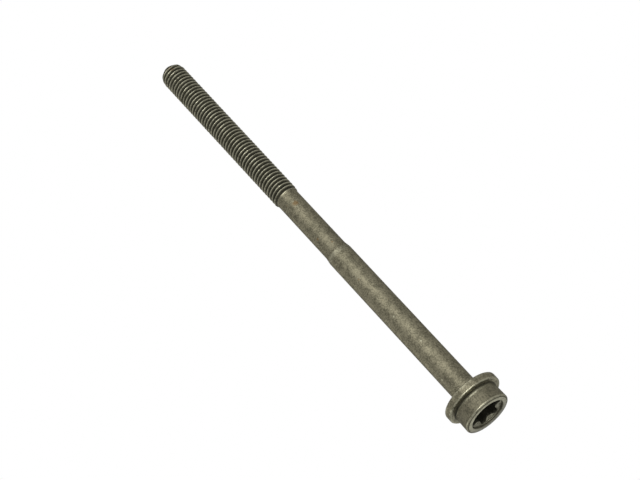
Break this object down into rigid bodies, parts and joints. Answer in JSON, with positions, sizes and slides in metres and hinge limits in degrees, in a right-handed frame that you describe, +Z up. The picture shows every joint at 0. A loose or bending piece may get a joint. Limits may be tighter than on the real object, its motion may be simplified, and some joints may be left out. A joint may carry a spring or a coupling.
{
  "type": "cylinder head bolt",
  "caption": "Long flanged steel head bolt with a six-lobed internal drive, a stepped waisted shank and a rolled coarse thread.",
  "frame": {"origin": "centre of the head's flat end, on which the bolt stands", "axes": "+Z up the bolt's axis, from the head's end to the point"},
  "size_m": [0.0242, 0.0242, 0.2194],
  "materials": {
    "phosphated_steel": "dark grey-green phosphate, oiled, rubbed lighter on the crests and edges, with a few specks of rust"
  },
  "bodies": {
    "root": {"head_bolt": "phosphated_steel"}
  },
  "joints": []
}
